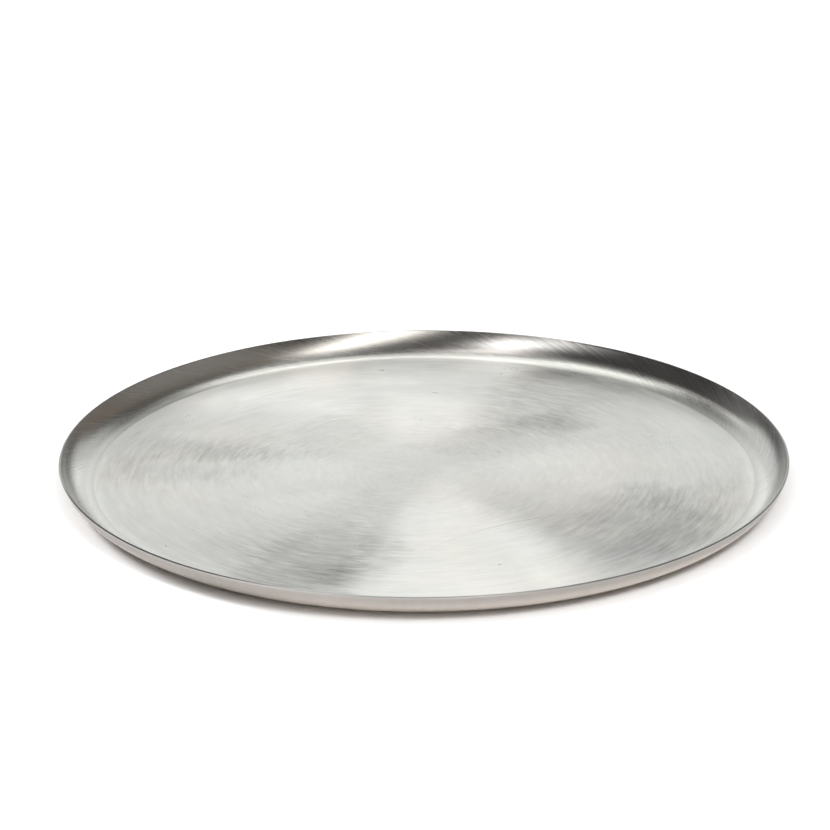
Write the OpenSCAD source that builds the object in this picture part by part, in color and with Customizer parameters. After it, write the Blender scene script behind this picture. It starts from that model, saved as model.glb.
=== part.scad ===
// Round serving dish, spun from one disc of brushed stainless steel sheet.
// It is a single piece: a flat floor that sweeps up through a wide knee into a low, flared wall,
// ending in a cut lip with its two edges taken off.
// The origin is the centre of the underside, on the surface that the dish stands on, with +Z up.

/* [Dish] */
// Diameter of the dish over its lip
dish_d = 400; // [250:5:600]
// Height of the lip above the table
dish_h = 14; // [8:0.5:40]

/* [Wall] */
// Slope of the wall at the lip, in degrees from the horizontal
wall_slope = 72; // [45:1:85]
// Straight stretch of wall between the knee and the lip
wall_run = 0.2; // [0.1:0.1:5]
// Rounding of the inner and outer edge of the cut lip
lip_round = 0.4; // [0.1:0.05:0.45]

/* [Sheet] */
// Thickness of the steel sheet
sheet_t = 1.2; // [1:0.1:2]

/* [Hidden] */

// Segments that a viewer draws for a full turn of the dish, of the knee and of a lip edge
turn_steps = 144;
knee_steps = 72;
lip_steps = 24;

// Height that the straight wall and the rounded lip leave for the knee
straight_rise = wall_run * sin(wall_slope);
lip_rise = (sheet_t - lip_round) * cos(wall_slope) + lip_round;
knee_rise = dish_h - straight_rise - lip_rise;

// The knee is one arc, bent through the slope of the wall, with the sheet at its full thickness
knee_out_r = knee_rise / (1 - cos(wall_slope));
knee_in_r = knee_out_r - sheet_t;

// Width that the knee, the straight wall and the rounded lip take of the dish's radius
knee_reach = knee_out_r * sin(wall_slope);
straight_reach = wall_run * cos(wall_slope);
lip_reach = lip_round - lip_round * sin(wall_slope);
floor_r = dish_d / 2 - knee_reach - straight_reach - lip_reach;

// Flat floor, from the middle of the dish to the start of the knee
module floor_section() {
    square([floor_r, sheet_t]);
}

// Square that covers all of the section on one side of a cut through the centre of the knee
module side_of_cut(side) {
    reach = 2 * knee_out_r;
    translate([min(side, 0) * reach, -reach])
    square([reach, reach]);
}

// Wide bend that carries the floor into the wall, drawn about the centre of its arc
module knee_section() {
    intersection() {
        difference() {
            circle(r = knee_out_r, $fn = knee_steps);
            circle(r = knee_in_r, $fn = knee_steps);
        }
        side_of_cut(1);
        rotate(wall_slope)
        side_of_cut(-1);
    }
}

// Cut lip, drawn along the wall, with its inner and outer edge rounded
module lip_section() {
    translate([0, lip_round])
    square([lip_round, sheet_t - 2 * lip_round]);
    intersection() {
        square([lip_round, sheet_t]);
        for (edge = [lip_round, sheet_t - lip_round])
            translate([0, edge])
            circle(r = lip_round, $fn = lip_steps);
    }
}

// Flared wall and its lip, drawn about the centre of the knee, where the bend ends
module wall_section() {
    rotate(wall_slope)
    translate([0, -knee_out_r]) {
        square([wall_run, sheet_t]);
        translate([wall_run, 0])
        lip_section();
    }
}

// The whole dish: its section turned about the middle
module dish() {
    color("silver")
    rotate_extrude($fn = turn_steps) {
        floor_section();
        translate([floor_r, knee_out_r]) {
            knee_section();
            wall_section();
        }
    }
}

dish();
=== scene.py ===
"""Looks of a round serving dish of brushed stainless steel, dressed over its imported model."""

import math

import bpy
from bpy.props import FloatProperty, FloatVectorProperty, IntProperty, PointerProperty
from mathutils import Matrix, Vector


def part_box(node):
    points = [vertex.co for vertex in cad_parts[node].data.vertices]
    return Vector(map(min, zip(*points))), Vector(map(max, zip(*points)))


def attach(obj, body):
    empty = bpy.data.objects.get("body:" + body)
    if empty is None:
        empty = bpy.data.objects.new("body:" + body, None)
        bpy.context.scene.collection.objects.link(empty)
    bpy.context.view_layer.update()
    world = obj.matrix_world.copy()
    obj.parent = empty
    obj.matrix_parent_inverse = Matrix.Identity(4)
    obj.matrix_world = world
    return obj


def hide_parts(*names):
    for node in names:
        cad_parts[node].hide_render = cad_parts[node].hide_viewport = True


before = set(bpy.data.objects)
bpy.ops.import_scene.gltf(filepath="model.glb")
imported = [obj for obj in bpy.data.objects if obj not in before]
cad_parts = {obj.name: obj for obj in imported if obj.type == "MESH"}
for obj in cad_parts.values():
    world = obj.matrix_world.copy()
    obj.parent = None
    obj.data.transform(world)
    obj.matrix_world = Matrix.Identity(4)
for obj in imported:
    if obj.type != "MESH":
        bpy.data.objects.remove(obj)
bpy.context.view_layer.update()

bl_info = {
    "name": "Brushed Serving Dish",
    "version": (1, 0, 0),
    "blender": (4, 5, 0),
    "location": "3D View > Sidebar > Dish",
    "description": "Spins a round serving dish from steel sheet, brushes it and sets up a studio",
    "category": "Add Mesh",
}

NODE = "dish"
BODY = "root"
MM = 0.001

# Numbers of the four finishes, in the order in which they meet along the section
FLOOR, WALL, LIP, OUTSIDE = range(4)
# Rings or steps that the section gives each stretch
FLOOR_RINGS, INNER_KNEE_STEPS, LIP_STEPS, OUTER_KNEE_STEPS, UNDER_RINGS = 48, 40, 6, 32, 8

low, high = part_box(NODE)
CAD_RADIUS = min(high.x, high.y, -low.x, -low.y)
CAD_HEIGHT = high.z - low.z


class Val:
    """A number in a node tree: a socket whose arithmetic adds Math nodes."""

    def __init__(self, tree, socket):
        self.tree = tree
        self.socket = socket

    def math(self, operation, *values):
        node = self.tree.node("ShaderNodeMath", {"operation": operation}, list(values))
        return Val(self.tree, node.outputs[0])

    def __add__(self, other):
        return self.math("ADD", self, other)

    __radd__ = __add__

    def __sub__(self, other):
        return self.math("SUBTRACT", self, other)

    def __rsub__(self, other):
        return self.math("SUBTRACT", other, self)

    def __mul__(self, other):
        return self.math("MULTIPLY", self, other)

    __rmul__ = __mul__

    def __truediv__(self, other):
        return self.math("DIVIDE", self, other)

    def __rtruediv__(self, other):
        return self.math("DIVIDE", other, self)

    def __pow__(self, other):
        return self.math("POWER", self, other)

    def __abs__(self):
        return self.math("ABSOLUTE", self)

    def at_least(self, other):
        return self.math("MAXIMUM", self, other)

    def at_most(self, other):
        return self.math("MINIMUM", self, other)

    def ramp(self, start, end):
        """0 at start and 1 at end, with a smooth run between them."""
        node = self.tree.node(
            "ShaderNodeMapRange",
            {"interpolation_type": "SMOOTHSTEP", "clamp": True},
            {"Value": self, "From Min": start, "From Max": end, "To Min": 0.0, "To Max": 1.0},
        )
        return Val(self.tree, node.outputs[0])


class Tree:
    """A node tree and the one way that nodes are added to it."""

    def __init__(self, nodes):
        self.nodes = nodes

    def node(self, kind, settings=None, sockets=None):
        """Adds a node, sets its settings, then gives its input sockets their values or links."""
        made = self.nodes.nodes.new(kind)
        for name, value in (settings or {}).items():
            setattr(made, name, value)
        pairs = sockets.items() if isinstance(sockets, dict) else enumerate(sockets or [])
        for key, value in pairs:
            self.feed(made.inputs[key], value)
        return made

    def feed(self, socket, value):
        if isinstance(value, Val):
            value = value.socket
        if isinstance(value, bpy.types.NodeSocket):
            self.nodes.links.new(value, socket)
        elif value is not None:
            socket.default_value = value

    def val(self, node, output=0):
        return Val(self, node.outputs[output])

    def vector(self, operation, *values):
        node = self.node("ShaderNodeVectorMath", {"operation": operation}, list(values))
        return node.outputs["Value" if operation == "DOT_PRODUCT" else "Vector"]

    def dot(self, a, b):
        return Val(self, self.vector("DOT_PRODUCT", a, b))

    def join(self, x, y, z):
        return self.node("ShaderNodeCombineXYZ", None, [x, y, z]).outputs[0]

    def split(self, vector):
        made = self.node("ShaderNodeSeparateXYZ", None, [vector])
        return [Val(self, s) for s in made.outputs]

    def mix(self, factor, a, b):
        """Blends colour a into colour b."""
        made = self.node("ShaderNodeMix", {"data_type": "RGBA"})
        self.feed(made.inputs["Factor"], factor)
        self.feed(made.inputs[6], a)
        self.feed(made.inputs[7], b)
        return made.outputs[2]

    def noise(self, vector, scale, detail=2.0, rough=0.5):
        made = self.node(
            "ShaderNodeTexNoise",
            {"noise_dimensions": "3D"},
            {"Vector": vector, "Scale": scale, "Detail": detail, "Roughness": rough},
        )
        return Val(self, made.outputs[0])


class DishSizes(bpy.types.PropertyGroup):
    """Sizes of the dish, in metres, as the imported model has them."""

    radius: FloatProperty(
        name="Radius", description="Radius over the lip", default=CAD_RADIUS, unit="LENGTH"
    )
    height: FloatProperty(
        name="Height", description="Height of the lip", default=CAD_HEIGHT, unit="LENGTH"
    )
    sheet: FloatProperty(
        name="Sheet", description="Thickness of the steel", default=1.2 * MM, unit="LENGTH"
    )
    slope: FloatProperty(
        name="Wall slope",
        description="Slope of the wall at the lip, from the horizontal",
        default=math.radians(72),
        subtype="ANGLE",
    )
    wall_run: FloatProperty(
        name="Wall run",
        description="Straight stretch between the knee and the lip",
        default=0.2 * MM,
        unit="LENGTH",
    )
    lip_round: FloatProperty(
        name="Lip rounding",
        description="Rounding of the two edges of the cut lip",
        default=0.4 * MM,
        unit="LENGTH",
    )
    unevenness: FloatProperty(
        name="Unevenness",
        description="How far hand spinning leaves the wall from a true circle",
        default=0.06 * MM,
        unit="LENGTH",
    )
    wave_length: FloatProperty(
        name="Wave length",
        description="Length of the unevenness round the wall",
        default=90 * MM,
        unit="LENGTH",
    )
    turn_steps: IntProperty(name="Turn steps", description="Segments round the dish", default=512)


class SteelLook(bpy.types.PropertyGroup):
    """Colour and brushing of the steel."""

    steel: FloatVectorProperty(
        name="Steel",
        description="Colour of the clean metal",
        subtype="COLOR",
        size=3,
        default=(0.62, 0.62, 0.62),
    )
    # Its warmer grey is partly a painted reflection of a warm grey table
    outside: FloatVectorProperty(
        name="Outside",
        description="Colour of the outside and the underside",
        subtype="COLOR",
        size=3,
        default=(0.44, 0.41, 0.385),
    )
    floor_rough: FloatProperty(
        name="Floor roughness", description="Of the brushed floor", default=0.289
    )
    floor_stretch: FloatProperty(
        name="Floor stretch",
        description="How far the brushing draws out the floor's highlights, from 0 to 1",
        default=0.714,
    )
    floor_clean: FloatProperty(
        name="Floor clarity",
        description="Share of the floor's shine that its fine scratches leave clear",
        default=0.63,
    )
    wall_rough: FloatProperty(
        name="Wall roughness", description="Of the knee and wall", default=0.263
    )
    wall_stretch: FloatProperty(
        name="Wall stretch",
        description="How far the burnishing draws out the wall's highlights, from 0 to 1",
        default=0.741,
    )
    outside_rough: FloatProperty(
        name="Outside roughness", description="Of the outside and the underside", default=0.46
    )


class StudioSetup(bpy.types.PropertyGroup):
    """Camera and light, placed from the centre of the underside."""

    table_half: FloatProperty(
        name="Table", description="Half the side of the table", default=6.0, unit="LENGTH"
    )
    camera_back: FloatProperty(
        name="Camera distance", description="How far the camera stands in front", default=1.3044,
        unit="LENGTH",
    )
    camera_side: FloatProperty(
        name="Camera offset", description="How far it stands to the right", default=-0.0018,
        unit="LENGTH",
    )
    camera_height: FloatProperty(
        name="Camera height", description="Above the table", default=0.5224, unit="LENGTH"
    )
    pitch: FloatProperty(
        name="Pitch", description="How far it looks down", default=math.radians(20.596),
        subtype="ANGLE",
    )
    yaw: FloatProperty(
        name="Yaw", description="Turn to the right", default=math.radians(-0.128), subtype="ANGLE"
    )
    roll: FloatProperty(
        name="Roll", description="Roll of the camera", default=math.radians(-0.360),
        subtype="ANGLE",
    )
    lens: FloatProperty(name="Lens", description="Focal length in mm", default=109.97)


def section_points(s):
    """The dish's section as (radius, height, finish), from the middle of the floor to the middle
    of the underside, so that its faces point outwards when it is turned."""
    cos, sin = math.cos(s.slope), math.sin(s.slope)
    straight_rise = s.wall_run * sin
    lip_rise = (s.sheet - s.lip_round) * cos + s.lip_round
    knee_rise = s.height - straight_rise - lip_rise
    knee_out = knee_rise / (1 - cos)
    knee_in = knee_out - s.sheet
    lip_reach = s.lip_round - s.lip_round * sin
    floor_r = s.radius - knee_out * sin - s.wall_run * cos - lip_reach
    points = []

    def arc(r, z, radius, start, end, steps, finish):
        for i in range(steps + 1):
            a = start + (end - start) * i / steps
            points.append((r + radius * math.sin(a), z - radius * math.cos(a), finish))

    # The last ring of the floor is a narrow one, so that the floor shades flat up to the knee
    last_ring = 0.18 * MM
    for i in range(FLOOR_RINGS + 1):
        points.append(((floor_r - last_ring) * i / FLOOR_RINGS, s.sheet, FLOOR))
    arc(floor_r, knee_out, knee_in, 0, s.slope, INNER_KNEE_STEPS, WALL)
    # The lip is two quarter rounds, inner then outer, about centres that lie in from the sheet's
    # faces where the straight wall ends
    quarter = math.pi / 2
    along, across = Vector((cos, sin)), Vector((-sin, cos))
    wall_end = Vector((floor_r + knee_out * sin, knee_rise)) + along * s.wall_run
    for inset, start in ((s.sheet - s.lip_round, 2 * quarter), (s.lip_round, quarter)):
        centre = wall_end + across * inset
        turn = s.slope + start
        arc(centre.x, centre.y, s.lip_round, turn, turn - quarter, LIP_STEPS, LIP)
    arc(floor_r, knee_out, knee_out, s.slope, 0, OUTER_KNEE_STEPS, OUTSIDE)
    for i in range(1, UNDER_RINGS + 1):
        points.append((floor_r * (1 - i / UNDER_RINGS), 0.0, OUTSIDE))
    return points


# Distance under which two points are the same, and the share of the height up to which the dish
# stays a true circle
SAME_PLACE = 0.001 * MM
TRUE_SHARE = 0.15


def turn_tree():
    """Geometry nodes that turn a section, drawn in the XZ plane, about the Z axis."""
    group = bpy.data.node_groups.new("turn_section", "GeometryNodeTree")
    face = group.interface
    face.new_socket("Section", in_out="INPUT", socket_type="NodeSocketGeometry")
    for name, kind in (
        ("Turn Steps", "NodeSocketInt"),
        ("Unevenness", "NodeSocketFloat"),
        ("Wave Length", "NodeSocketFloat"),
        ("Height", "NodeSocketFloat"),
        ("Floor Finish", "NodeSocketMaterial"),
        ("Wall Finish", "NodeSocketMaterial"),
        ("Lip Finish", "NodeSocketMaterial"),
        ("Outside Finish", "NodeSocketMaterial"),
    ):
        face.new_socket(name, in_out="INPUT", socket_type=kind)
    face.new_socket("Dish", in_out="OUTPUT", socket_type="NodeSocketGeometry")
    t = Tree(group)
    given = t.node("NodeGroupInput")
    section = given.outputs["Section"]
    turns = Val(t, given.outputs["Turn Steps"])
    size = t.node("GeometryNodeAttributeDomainSize", {"component": "MESH"}, [section])
    rows = turns + 1
    grid = t.node(
        "GeometryNodeMeshGrid",
        None,
        {"Vertices X": size.outputs["Point Count"], "Vertices Y": rows},
    )
    index = Val(t, t.node("GeometryNodeInputIndex").outputs[0])
    place = t.node("GeometryNodeInputPosition").outputs[0]
    step = index.math("FLOOR", (index + 0.5) / rows)
    turn = index - step * rows
    sample = t.node(
        "GeometryNodeSampleIndex",
        {"data_type": "FLOAT_VECTOR", "domain": "POINT"},
        {"Geometry": section, "Value": place, "Index": step},
    )
    radius, _, height = t.split(sample.outputs[0])
    angle = turn * math.tau / turns
    turned = t.join(
        radius * angle.math("COSINE", angle), radius * angle.math("SINE", angle), height
    )
    bent = t.node(
        "GeometryNodeSetPosition", None, {"Geometry": grid.outputs["Mesh"], "Position": turned}
    )
    finish = t.node("GeometryNodeInputNamedAttribute", {"data_type": "INT"}, {"Name": "finish"})
    face_step = index.math("FLOOR", (index + 0.5) / turns)
    face_finish = t.node(
        "GeometryNodeSampleIndex",
        {"data_type": "INT", "domain": "POINT"},
        {"Geometry": section, "Value": finish.outputs[0], "Index": face_step},
    )
    marked = t.node(
        "GeometryNodeStoreNamedAttribute",
        {"data_type": "INT", "domain": "FACE"},
        {"Geometry": bent.outputs[0], "Name": "finish", "Value": face_finish.outputs[0]},
    )
    closed = t.node(
        "GeometryNodeMergeByDistance", None, {"Geometry": marked.outputs[0], "Distance": SAME_PLACE}
    )
    x, y, z = t.split(place)
    lift = (z / Val(t, given.outputs["Height"])).ramp(TRUE_SHARE, 1.0)
    wave = t.noise(place, 1.0 / Val(t, given.outputs["Wave Length"]), 1.0) - 0.5
    away = t.vector("NORMALIZE", t.join(x, y, 0.0))
    offset = wave * Val(t, given.outputs["Unevenness"]) * 2.0 * lift
    shift = scaled(t, away, offset)
    uneven = t.node(
        "GeometryNodeSetPosition", None, {"Geometry": closed.outputs[0], "Offset": shift}
    )
    smooth = t.node("GeometryNodeSetShadeSmooth", None, {"Geometry": uneven.outputs[0]})
    whole = t.node("GeometryNodeRealizeInstances", None, {"Geometry": smooth.outputs[0]})
    dressed = whole.outputs[0]
    for number, name in enumerate(("Floor Finish", "Wall Finish", "Lip Finish", "Outside Finish")):
        here = t.node(
            "FunctionNodeCompare",
            {"data_type": "INT", "operation": "EQUAL"},
            {2: finish.outputs[0], 3: number},
        )
        dressed = t.node(
            "GeometryNodeSetMaterial",
            None,
            {"Geometry": dressed, "Selection": here.outputs[0], "Material": given.outputs[name]},
        ).outputs[0]
    t.node("NodeGroupOutput", None, [dressed])
    return group


def new_material(name):
    material = bpy.data.materials.new(name)
    material.use_nodes = True
    material.node_tree.nodes.clear()
    return material, Tree(material.node_tree)


# Turn of the shader's stretch, as a share of a full turn, that draws highlights out across the rings
# of the brushing
ACROSS_THE_RINGS = 0.25


def steel_shader(t, colour, rough, anisotropy, normal=None, metallic=1.0):
    """Brushed steel, with anisotropy as the strength of the stretch."""
    return t.node(
        "ShaderNodeBsdfPrincipled",
        None,
        {
            "Base Color": colour,
            "Metallic": metallic,
            "Roughness": rough,
            "Anisotropic": anisotropy,
            "Anisotropic Rotation": ACROSS_THE_RINGS,
            "Normal": normal,
        },
    )


def scaled(t, vector, scale):
    """A colour or other vector times a number."""
    node = t.node("ShaderNodeVectorMath", {"operation": "SCALE"}, {"Vector": vector, "Scale": scale})
    return node.outputs[0]


def bumped(t, height):
    """The normal of a surface that rises by height, in metres."""
    node = t.node("ShaderNodeBump", None, {"Strength": 1.0, "Distance": 1.0, "Height": height})
    return node.outputs[0]


def polar(t):
    """The place where noise is read, the radius, the direction from the middle as its cosine and
    sine, and the height."""
    place = t.node("ShaderNodeTexCoord").outputs["Object"]
    x, y, z = t.split(place)
    radius = (x * x + y * y) ** 0.5
    least_radius = 0.5 * MM
    safe = radius.at_least(least_radius)
    # Noise is read a little above the dish, because right on its own grid it leaves crumbs
    noise_lift = 19.3 * MM
    lifted = t.vector("ADD", place, (0.0, 0.0, noise_lift))
    return lifted, radius, x / safe, y / safe, z


# Kinds of noise that is alike in all directions: cells per metre, octaves, roughness
EVEN_NOISES = {
    "wander": (24.0, 3.0, 0.6),
    "clouds": (34.0, 4.0, 0.55),
    "grain": (260.0, 3.0, 0.65),
    "warmth": (16.0, 2.0, 0.5),
    "waves": (26.0, 2.0, 0.5),
}
# Kinds of brush marks: cells per radian round the dish and per metre of radius, octaves, roughness
BRUSH_MARKS = {
    "fine": (7.0, 900.0, 1.0, 0.5),
    "broad": (5.0, 240.0, 2.0, 0.6),
    "dashes": (10.0, 430.0, 3.0, 0.62),
    "rings": (6.0, 850.0, 2.0, 0.5),
}
# Lean of their noise's grid along x, y and z, because an upright grid leaves combed patches
BRUSH_LEAN = (0.45, 0.3, 0.85)


def brush_marks(t, cx, cy, radius, kind):
    """Noise drawn out into arcs about the middle, from -0.5 to 0.5."""
    round_cells, across_cells, octaves, rough = BRUSH_MARKS[kind]
    lean_x, lean_y, lean_z = BRUSH_LEAN
    across = radius * across_cells
    where = t.join(
        cx * round_cells + across * lean_x, cy * round_cells + across * lean_y, across * lean_z
    )
    return t.noise(where, 1.0, octaves, rough) - 0.5


# Sectors of the floor painted lighter or darker, as painted highlights and shade where its brushing
# reflects light: direction of the middle, half its width and the run of its edges in degrees, inner
# and outer radius and the run of those in mm, then how much lighter (+) or darker (-)
PAINTED_SHEEN_SECTORS = (
    (-115, 11, 4, 105, 190, 22, -0.20),
    (-118, 17, 8, 50, 150, 25, -0.11),
    (-110, 6, 4, 130, 178, 20, -0.10),
    (-102, 6, 3, 90, 155, 20, -0.13),
    (-40, 18, 5, 100, 172, 16, -0.17),
    (-22, 9, 6, 120, 176, 16, -0.12),
    (-52, 13, 6, 50, 112, 14, -0.07),
    (-62, 8, 4, 90, 200, 20, 0.14),
    (-80, 21, 4, 50, 200, 20, 0.09),
    (-82, 18, 5, 135, 200, 20, 0.06),
    (56, 15, 8, 166, 200, 7, -0.30),
    (56, 13, 7, 60, 170, 15, -0.17),
    (70, 7, 5, 110, 170, 15, -0.08),
    (25, 7, 6, 150, 185, 12, 0.08),
    (176, 13, 6, 85, 190, 15, -0.10),
    (167, 6, 4, 75, 150, 15, -0.10),
    (140, 26, 10, 45, 95, 12, -0.10),
    (102, 9, 6, 120, 170, 15, -0.03),
    (128, 18, 8, 145, 200, 14, 0.26),
    (87, 16, 8, 60, 115, 14, 0.16),
    (84, 18, 7, 165, 200, 8, 0.18),
    (4, 14, 8, 110, 190, 20, -0.03),
    (50, 30, 10, 20, 75, 15, -0.05),
)
# Round places painted lighter or darker in the same way: middle x and y, reach along x and y in mm,
# and how much
PAINTED_SHEEN_PLACES = (
    (-60, 108, 60, 30, 0.05),
    (-122, 120, 30, 26, 0.08),
    (62, 128, 30, 24, -0.06),
    (84, 146, 34, 18, -0.12),
    (76, 66, 32, 24, -0.18),
    (32, 70, 22, 18, 0.12),
    (-30, 104, 26, 20, -0.08),
    (-118, 20, 22, 18, -0.08),
    (-155, 50, 18, 30, -0.06),
    (128, -106, 30, 28, -0.20),
    (126, -38, 24, 20, -0.14),
    (140, -62, 22, 24, -0.05),
    (-38, -92, 20, 22, -0.06),
    (-66, -146, 36, 20, -0.12),
    (-14, -120, 10, 22, -0.08),
    (78, 62, 20, 18, -0.06),
    (70, 150, 22, 14, -0.08),
    (-42, 162, 16, 14, -0.07),
    (-18, 142, 20, 14, 0.09),
    (96, -122, 18, 22, -0.08),
    (100, -76, 20, 16, -0.07),
    (160, -30, 16, 22, -0.05),
    (-100, 42, 24, 16, -0.10),
    (-158, 8, 16, 32, -0.07),
    (-70, 100, 50, 22, 0.07),
    (-96, -112, 34, 26, -0.06),
    (12, 30, 30, 12, -0.06),
    (-20, -35, 22, 30, -0.04),
    (16, -18, 14, 26, 0.06),
    (80, 10, 30, 30, 0.04),
    (-66, -52, 44, 26, 0.08),
)
# One long faint scratch: middle and radius of its arc in mm, then the directions it runs between,
# seen from that middle, in degrees
SCRATCH = (108.6, -203.6, 139.6, 98, 142)
# Tiny pits in the floor: x and y of the middle and radius, in mm
PITS = ((37.8, -132.8, 0.75), (-55.7, -95.9, 0.45), (-126.9, -22.7, 0.4))


def spot(x, y, place):
    """1 in the middle of a round place of painted sheen, fading out over its reach."""
    middle_x, middle_y, reach_x, reach_y = (value * MM for value in place)
    across = (x - middle_x) / reach_x
    along = (y - middle_y) / reach_y
    return (across * across + along * along).ramp(1.0, 0.0)


def sector(cx, cy, drift, radius, shape):
    """1 in the middle of a sector, fading over its edges. On the wall, height stands for radius."""
    side, half, run, inner, outer, edge = shape
    way = cx * math.cos(math.radians(side)) + cy * math.sin(math.radians(side))
    angle = way.math("ARCCOSINE", way.at_most(1.0)) + drift
    across = angle.ramp(math.radians(half + run), math.radians(half - run))
    along = radius.ramp((inner - edge) * MM, (inner + edge) * MM)
    return across * along * radius.ramp((outer + edge) * MM, (outer - edge) * MM)


def painted_sheen_shade(t, x, y, cx, cy, radius, place, dashes):
    """How much lighter or darker the painted sectors and round places leave the floor, as painted
    highlights and shade, and how dark a place is, from 0 to 1."""
    # Their edges wander, so that none of them is drawn with a compass
    reach, other_slice = 36 * MM, 21.3 * MM
    wander_x = (t.noise(place, *EVEN_NOISES["wander"]) - 0.5) * reach
    wander_y = (t.noise(t.join(y, other_slice, x), *EVEN_NOISES["wander"]) - 0.5) * reach
    turn_per_metre, turn_per_dash = 3.2, 0.14
    drift = (wander_x + wander_y) * turn_per_metre + dashes * turn_per_dash
    radius_share, radius_per_dash = 0.6, 20 * MM
    sheen_radius = radius + wander_x * radius_share + dashes * radius_per_dash
    darkest = -0.2
    painted_sheen, dark = 0.0, 0.0
    # The sectors and round places paint highlights and shade into the floor
    masks = [(sector(cx, cy, drift, sheen_radius, shape), by) for *shape, by in PAINTED_SHEEN_SECTORS]
    masks += [(spot(x + wander_x, y + wander_y, shape), by) for *shape, by in PAINTED_SHEEN_PLACES]
    for mask, strength in masks:
        painted_sheen = mask * strength + painted_sheen
        if strength < 0:
            dark = mask * (strength / darkest) + dark
    return painted_sheen, dark.at_most(1.0)


def scratch_line(x, y):
    """1 on the long scratch and 0 beside it and beyond its ends."""
    middle_x, middle_y, arc, start, end = SCRATCH
    faded, full = 0.9 * MM, 0.2 * MM
    beyond_end, within_end = -0.01, 0.04
    off_x, off_y = x - middle_x * MM, y - middle_y * MM
    off = (off_x * off_x + off_y * off_y) ** 0.5
    way = math.radians((start + end) / 2)
    edge = math.cos(math.radians((end - start) / 2))
    facing = (off_x * math.cos(way) + off_y * math.sin(way)) / off
    return abs(off - arc * MM).ramp(faded, full) * facing.ramp(edge + beyond_end, edge + within_end)


def floor_material(look):
    """Floor brushed round and round, with clouds, painted sheen and shade, a scratch and a few pits."""
    material, t = new_material("brushed_floor")
    place, radius, cx, cy, _ = polar(t)
    x, y, _ = t.split(place)
    fine, broad, dashes = (brush_marks(t, cx, cy, radius, k) for k in ("fine", "broad", "dashes"))
    grain = t.noise(place, *EVEN_NOISES["grain"]) - 0.5
    clouds = t.noise(place, *EVEN_NOISES["clouds"]) - 0.5
    # The sectors and round places bring painted highlights and shade
    painted_sheen, dark = painted_sheen_shade(t, x, y, cx, cy, radius, place, dashes)

    cloud_shade, fine_shade, broad_shade, grain_shade = 0.22, 0.04, 0.18, 0.05
    shade = painted_sheen + clouds * cloud_shade + fine * fine_shade + broad * broad_shade
    shade = shade + grain * grain_shade
    dash_shade, dash_shade_in_dark = 0.22, 0.42
    shade = shade + dashes * (dark * dash_shade_in_dark + dash_shade)
    # A painted highlight lightens the edge of the floor where it meets the knee
    edge_start, edge_end, painted_edge_highlight = 175 * MM, 181 * MM, 0.12
    shade = shade + radius.ramp(edge_start, edge_end) * painted_edge_highlight
    scratch_shade, scratch_breaks = 0.10, 0.6
    shade = shade - scratch_line(x, y) * (broad * scratch_breaks + scratch_shade)
    pit_shade, pit_bottom_share = 0.8, 0.4
    for pit_x, pit_y, size in PITS:
        away = ((x - pit_x * MM) ** 2 + (y - pit_y * MM) ** 2) ** 0.5
        shade = shade - away.ramp(size * MM, pit_bottom_share * size * MM) * pit_shade

    pale, warm = (0.648, 0.656, 0.650, 1), (0.670, 0.644, 0.620, 1)
    warm_from, warm_to, warmest = 0.45, 0.7, 0.6
    warmth = t.noise(place, *EVEN_NOISES["warmth"]).ramp(warm_from, warm_to) * warmest
    darkest = 0.05
    colour = scaled(t, t.mix(warmth, pale, warm), (shade + 1.0).at_least(darkest))
    cloud_rough, broad_rough, centre_rough = 0.08, 0.02, 0.12
    rough = look.floor_rough + clouds * cloud_rough + broad * broad_rough
    waves = t.noise(place, *EVEN_NOISES["waves"])
    wave_height, mark_height = 0.22 * MM, 0.006 * MM
    normal = bumped(t, waves * wave_height + broad * mark_height)
    clean, stretch = look.floor_clean, look.floor_stretch
    # The rings are too tight at the middle to stretch its highlight
    centre_end, centre_start = 60 * MM, 6 * MM
    brushed = steel_shader(t, colour, rough, stretch, normal, clean)
    centre = steel_shader(t, colour, rough + centre_rough, 0.0, normal, clean)
    joined = t.node(
        "ShaderNodeMixShader",
        None,
        [radius.ramp(centre_end, centre_start), brushed.outputs[0], centre.outputs[0]],
    )
    t.node("ShaderNodeOutputMaterial", None, [joined.outputs[0]])
    return material


# Places on the knee and wall painted lighter or darker, as painted highlights and shade: direction
# of the middle, half its width and the run of its edges in degrees, lower and upper height and the
# run of those in mm, then how much lighter (+) or darker (-)
PAINTED_WALL_SHEEN = (
    (95, 34, 10, 0.8, 1.6, 0.3, 0.50),
    (95, 28, 10, 2.3, 3.4, 0.6, -0.18),
    (149, 12, 6, 1.3, 2.4, 0.5, -0.40),
    (31, 11, 5, 1.2, 2.4, 0.5, -0.20),
    (30, 11, 6, 3.5, 5.1, 0.5, 0.75),
    (57, 5, 4, 13.2, 16.0, 0.5, -0.35),
    (46, 21, 9, 5.0, 16.0, 1.6, -0.68),
)
# Places on the outside of the wall painted darker as shade, in the same terms
PAINTED_OUTSIDE_SHADE = (
    (-133, 20, 11, -5, 20, 1, -0.20),
    (175, 30, 16, -5, 20, 1, -0.07),
)


# Hairs across the knee and wall: cells per radian round the dish and per metre of climb, octaves,
# roughness
HAIRS = {"short": (210.0, 60.0, 2.0, 0.6), "long": (60.0, 25.0, 2.0, 0.5)}


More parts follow.
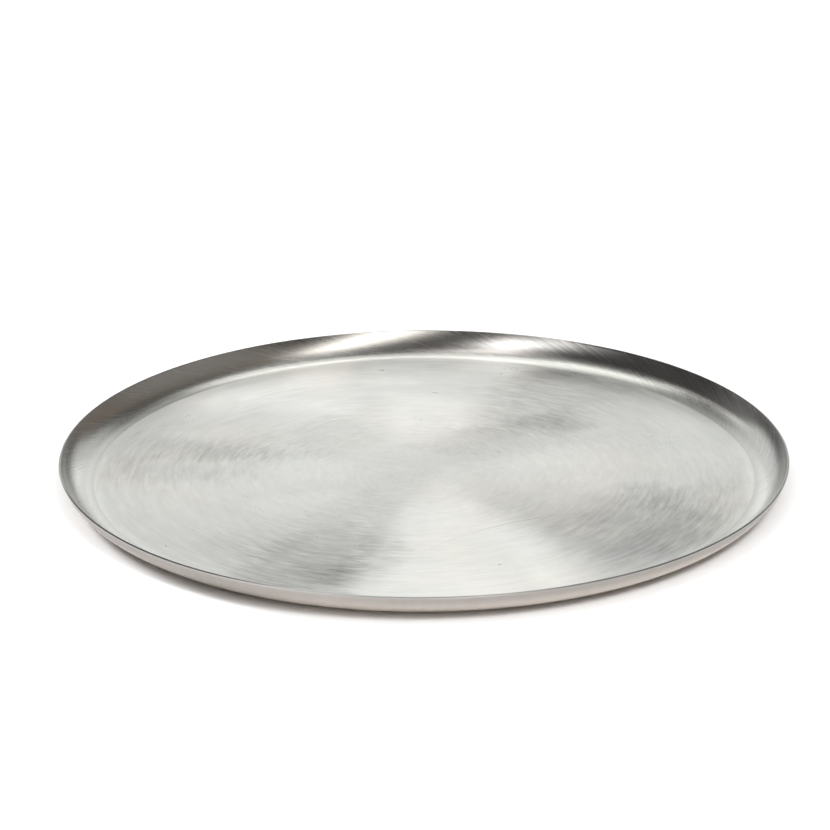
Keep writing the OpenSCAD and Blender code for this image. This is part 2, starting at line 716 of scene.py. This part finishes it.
def wall_material(look):
    """Knee and wall burnished brighter than the floor, with short hairs across the bend, and
    highlights and shade painted in places.
    """
    material, t = new_material("burnished_wall")
    _, radius, cx, cy, z = polar(t)
    # The hairs lean: they turn about the middle a little as they climb, in radians per metre
    turn_per_height, turn_per_radius = -10.0, -7.0
    lean = z * turn_per_height + radius * turn_per_radius
    turn_cos, turn_sin = lean.math("COSINE", lean), lean.math("SINE", lean)
    hair_x, hair_y = cx * turn_cos - cy * turn_sin, cx * turn_sin + cy * turn_cos
    climb = z + radius

    def hairs(kind):
        round_cells, climb_cells, octaves, rough = HAIRS[kind]
        where = t.join(hair_x * round_cells, hair_y * round_cells, climb * climb_cells)
        return t.noise(where, 1.0, octaves, rough) - 0.5

    short, long = hairs("short"), hairs("long")
    rings = brush_marks(t, cx, cy, climb, "rings")
    short_height, long_height = 0.045 * MM, 0.035 * MM
    normal = bumped(t, short * short_height + long * long_height)
    short_shade, long_shade, ring_shade = 0.34, 0.14, 0.10
    shade = short * short_shade + long * long_shade + rings * ring_shade + 1.0
    ragged_edge = 0.10
    # The places paint highlights and shade onto the knee and wall
    for *shape, strength in PAINTED_WALL_SHEEN:
        drift = (short + long) * ragged_edge
        shade = shade + sector(cx, cy, drift, z, shape) * strength
    darkest, brightest = 0.1, 1.5
    colour = scaled(t, tuple(look.steel), shade.at_least(darkest).at_most(brightest))
    # The foot of the knee is a little rougher, as it is harder to reach with the mop
    foot_end, foot_start, foot_rough, hair_rough = 3.0 * MM, 1.3 * MM, 0.05, 0.06
    rough = look.wall_rough + short * hair_rough + z.ramp(foot_end, foot_start) * foot_rough
    shader = steel_shader(t, colour, rough, look.wall_stretch, normal)
    t.node("ShaderNodeOutputMaterial", None, [shader.outputs[0]])
    return material


def lip_material(look):
    """Cut edge of the sheet: bright, with painted shade along its inner half at the left front."""
    material, t = new_material("cut_lip")
    _, radius, cx, cy, _ = polar(t)
    # The inner half of the lip at the left front is painted dark, as painted shade
    painted_dark_side = math.radians(-137)
    painted_dark_end, painted_dark_start = math.cos(math.radians(29)), math.cos(math.radians(16))
    bright_radius, painted_dark_radius = 199.95 * MM, 199.45 * MM
    way = cx * math.cos(painted_dark_side) + cy * math.sin(painted_dark_side)
    painted_dark_line = way.ramp(painted_dark_end, painted_dark_start) * radius.ramp(bright_radius, painted_dark_radius)
    bright_share = 0.7
    bright = (*[part * bright_share for part in look.steel], 1)
    dark = (0.10, 0.096, 0.09, 1)
    rough, stretch = 0.3, 0.3
    shader = steel_shader(t, t.mix(painted_dark_line, bright, dark), rough, stretch)
    t.node("ShaderNodeOutputMaterial", None, [shader.outputs[0]])
    return material


def outside_material(look):
    """Outside of the wall and the underside: satin, in a warmer grey that is partly a painted
    reflection of a warm grey table, with fine upright marks.
    """
    material, t = new_material("satin_outside")
    _, radius, cx, cy, z = polar(t)
    mark_cells, mark_climb, broad_cells, broad_climb = 170.0, 50.0, 22.0, 20.0
    upright = t.join(cx * mark_cells, cy * mark_cells, (z + radius) * mark_climb)
    marks = t.noise(upright, 1.0, 3.0, 0.6) - 0.5
    patches = t.join(cx * broad_cells, cy * broad_cells, z * broad_climb)
    broad = t.noise(patches, 1.0, 2.0, 0.5) - 0.5
    mark_shade, broad_shade = 0.16, 0.12
    shade = marks * mark_shade + broad * broad_shade + 1.0
    # It lightens towards the foot, which catches light from the table
    foot_end, foot_start, foot_shade = 12 * MM, 4 * MM, 0.85
    shade = shade + z.ramp(foot_end, foot_start) * foot_shade
    ragged_edge = 0.06
    # The places paint shade onto the outside
    for *shape, strength in PAINTED_OUTSIDE_SHADE:
        shade = shade * (sector(cx, cy, marks * ragged_edge, z, shape) * strength + 1.0)
    colour = scaled(t, tuple(look.outside), shade)
    mark_height, mark_rough = 0.008 * MM, 0.1
    stretch = 0.4
    rough = look.outside_rough + marks * mark_rough
    shader = steel_shader(t, colour, rough, stretch, bumped(t, marks * mark_height))
    t.node("ShaderNodeOutputMaterial", None, [shader.outputs[0]])
    return material


def set_input(modifier, name, value):
    for item in modifier.node_group.interface.items_tree:
        if item.item_type == "SOCKET" and item.in_out == "INPUT" and item.name == name:
            modifier[item.identifier] = value
            return
    raise RuntimeError("no input named " + name)


class DISH_OT_spin(bpy.types.Operator):
    """Spins the dish from one section and finishes its four surfaces"""

    bl_idname = "dish.spin"
    bl_label = "Spin Dish"

    def execute(self, context):
        sizes, look = context.scene.dish_sizes, context.scene.dish_look
        points = section_points(sizes)
        mesh = bpy.data.meshes.new("dish_section")
        mesh.from_pydata(
            [(r, 0.0, z) for r, z, _ in points],
            [(i, i + 1) for i in range(len(points) - 1)],
            [],
        )
        finish = mesh.attributes.new("finish", "INT", "POINT")
        finish.data.foreach_set("value", [f for _, _, f in points])
        section = bpy.data.objects.new("dish_section", mesh)
        context.scene.collection.objects.link(section)
        spin = section.modifiers.new("spin", "NODES")
        spin.node_group = turn_tree()
        for name, value in (
            ("Turn Steps", sizes.turn_steps),
            ("Unevenness", sizes.unevenness),
            ("Wave Length", sizes.wave_length),
            ("Height", sizes.height),
            ("Floor Finish", floor_material(look)),
            ("Wall Finish", wall_material(look)),
            ("Lip Finish", lip_material(look)),
            ("Outside Finish", outside_material(look)),
        ):
            set_input(spin, name, value)
        graph = context.evaluated_depsgraph_get()
        turned = bpy.data.meshes.new_from_object(section.evaluated_get(graph))
        bpy.data.objects.remove(section)
        turned.name = "steel_dish"
        dish = bpy.data.objects.new("steel_dish", turned)
        context.scene.collection.objects.link(dish)
        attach(dish, BODY)
        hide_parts(NODE)
        return {"FINISHED"}


# Lights and reflecting walls of the studio, as seen from the dish: azimuth from behind the dish
# towards the right and elevation of the middle, in degrees, half width and half height as
# tangents, softness of the edge, roll in degrees, and the colour of the light
PANELS = {
    "backdrop": (-11, 17, 0.45, 0.24, 0.04, -28, (0.82, 0.83, 0.80)),
    "backdrop_right": (19, 19, 0.19, 0.23, 0.04, 19, (0.69, 0.70, 0.66)),
    "high_screen": (-8, 51, 0.14, 0.28, 0.04, 64, (2.37, 2.39, 2.22)),
    "left_strip": (-126, 6, 0.06, 1.91, 0.30, 9, (4.79, 4.67, 4.51)),
    "left_top": (-127, 68, 0.85, 0.06, 0.04, 59, (2.38, 2.25, 2.13)),
    "right_strip": (171, 17, 0.13, 2.58, 0.16, 21, (3.85, 3.66, 3.36)),
    "left_side": (-80, 30, 0.80, 0.50, 0.40, 0, (0.20, 0.192, 0.182)),
    "right_side": (90, 28, 0.50, 0.45, 0.35, 0, (0.08, 0.10, 0.11)),
    "right_wall": (77, 5, 2.06, 0.91, 0.08, -108, (0.17, 0.14, 0.11)),
    "thin_strip": (8, 44, 0.06, 2.55, 0.04, -21, (0.72, 0.71, 0.67)),
}
ROOM = (0.03, 0.028, 0.026)
# Lamps that each light one object alone: tilt from straight above, side that it tilts to (from the
# right, turning towards the back) and spread, in degrees, strength in W/m2, and the object
LAMPS = {
    "lamp_high": (10, -88, 62, 2.05, "table"),
    "lamp_right": (32, -41, 20, 1.8, "table"),
    "lamp_left": (58, 144, 20, 3.2, "table"),
    "lamp_fill": (0, 0, 120, 2.65, "steel_dish"),
}


# What the camera sees beyond the table
WHITE_BACKDROP = (1.05, 1.05, 1.05, 1)
# Cosine under which a direction runs past a panel edge on
EDGE_ON = 0.05


def panel(t, way, azimuth, elevation, half_width, half_height, soft, roll):
    """1 where a direction meets a rectangular panel, faded over soft at its edges."""
    a, e, r = (math.radians(angle) for angle in (azimuth, elevation, roll))
    centre = Vector((math.sin(a) * math.cos(e), math.cos(a) * math.cos(e), math.sin(e)))
    right = Vector((math.cos(a), -math.sin(a), 0.0))
    up = right.cross(centre)
    right, up = math.cos(r) * right + math.sin(r) * up, math.cos(r) * up - math.sin(r) * right
    facing = t.dot(way, centre)
    depth = facing.at_least(EDGE_ON)
    u = abs(t.dot(way, right) / depth)
    w = abs(t.dot(way, up) / depth)
    inside = u.ramp(half_width + soft, half_width - soft)
    inside = inside * w.ramp(half_height + soft, half_height - soft)
    return inside * facing.math("GREATER_THAN", facing, EDGE_ON)


def studio_world():
    world = bpy.data.worlds.new("studio")
    world.use_nodes = True
    world.node_tree.nodes.clear()
    t = Tree(world.node_tree)
    way = t.node("ShaderNodeTexCoord").outputs["Generated"]
    light = ROOM
    for *shape, colour in PANELS.values():
        share = panel(t, way, *shape)
        light = t.vector("ADD", light, scaled(t, colour, share))
    seen = t.node("ShaderNodeLightPath").outputs["Is Camera Ray"]
    colour = t.mix(seen, light, WHITE_BACKDROP)
    sky = t.node("ShaderNodeBackground", None, {"Color": colour, "Strength": 1.0})
    t.node("ShaderNodeOutputWorld", None, [sky.outputs[0]])
    return world


class DISH_OT_studio(bpy.types.Operator):
    """Sets up the table, the studio's light and the camera"""

    bl_idname = "dish.studio"
    bl_label = "Set Up Studio"

    def execute(self, context):
        scene = context.scene
        setup = scene.dish_studio
        half = setup.table_half
        mesh = bpy.data.meshes.new("table")
        mesh.from_pydata(
            [(-half, -half, 0), (half, -half, 0), (half, half, 0), (-half, half, 0)], [], [(0, 1, 2, 3)]
        )
        table = bpy.data.objects.new("table", mesh)
        scene.collection.objects.link(table)
        material, t = new_material("white_table")
        shader = t.node(
            "ShaderNodeBsdfPrincipled",
            None,
            {"Base Color": (0.86, 0.86, 0.86, 1), "Roughness": 0.9, "Specular IOR Level": 0.1},
        )
        t.node("ShaderNodeOutputMaterial", None, [shader.outputs[0]])
        mesh.materials.append(material)
        # The table's lamps keep it white round the dish's shadow, and the dish's own lamp fills the
        # haze of its scratched floor without showing as a highlight
        for name, (tilt, side, spread, strength, lit_name) in LAMPS.items():
            lamp = bpy.data.lights.new(name, "SUN")
            lamp.energy = strength
            lamp.angle = math.radians(spread)
            lamp_object = bpy.data.objects.new(name, lamp)
            scene.collection.objects.link(lamp_object)
            t, a = math.radians(tilt), math.radians(side)
            source = Vector((math.sin(t) * math.cos(a), math.sin(t) * math.sin(a), math.cos(t)))
            lamp_object.rotation_euler = source.to_track_quat("Z", "Y").to_euler()
            lamp_object.visible_glossy = False
            lit = bpy.data.collections.new("lit_by_" + name)
            lit.objects.link(bpy.data.objects[lit_name])
            lamp_object.light_linking.receiver_collection = lit
        scene.world = studio_world()
        scene.world.cycles_visibility.diffuse = False
        scene.view_settings.view_transform = "Standard"
        data = bpy.data.cameras.new("camera")
        data.sensor_width = 36.0
        data.lens = setup.lens
        data.clip_end = 50.0
        camera = bpy.data.objects.new("camera", data)
        scene.collection.objects.link(camera)
        ahead = Vector((
            math.sin(setup.yaw) * math.cos(setup.pitch),
            math.cos(setup.yaw) * math.cos(setup.pitch),
            -math.sin(setup.pitch),
        ))
        right = Vector((math.cos(setup.yaw), -math.sin(setup.yaw), 0.0))
        up = right.cross(ahead)
        c, s = math.cos(setup.roll), math.sin(setup.roll)
        right, up = c * right + s * up, c * up - s * right
        turn = Matrix((right, up, -ahead)).transposed().to_4x4()
        place = Matrix.Translation((setup.camera_side, -setup.camera_back, setup.camera_height))
        camera.matrix_world = place @ turn
        scene.camera = camera
        return {"FINISHED"}


class DISH_PT_panel(bpy.types.Panel):
    """Lists the dish's sizes, its finish and the studio"""

    bl_idname = "DISH_PT_panel"
    bl_label = "Serving Dish"
    bl_space_type = "VIEW_3D"
    bl_region_type = "UI"
    bl_category = "Dish"

    def draw(self, context):
        scene = context.scene
        for group in (scene.dish_sizes, scene.dish_look, scene.dish_studio):
            for name in group.__annotations__:
                self.layout.prop(group, name)
        self.layout.operator("dish.spin")
        self.layout.operator("dish.studio")


CLASSES = (DishSizes, SteelLook, StudioSetup, DISH_OT_spin, DISH_OT_studio, DISH_PT_panel)


def register():
    for cls in CLASSES:
        bpy.utils.register_class(cls)
    bpy.types.Scene.dish_sizes = PointerProperty(type=DishSizes)
    bpy.types.Scene.dish_look = PointerProperty(type=SteelLook)
    bpy.types.Scene.dish_studio = PointerProperty(type=StudioSetup)


def unregister():
    del bpy.types.Scene.dish_studio
    del bpy.types.Scene.dish_look
    del bpy.types.Scene.dish_sizes
    for cls in reversed(CLASSES):
        bpy.utils.unregister_class(cls)


def main():
    register()
    bpy.ops.dish.spin()
    bpy.ops.dish.studio()


if __name__ == "__main__":
    main()
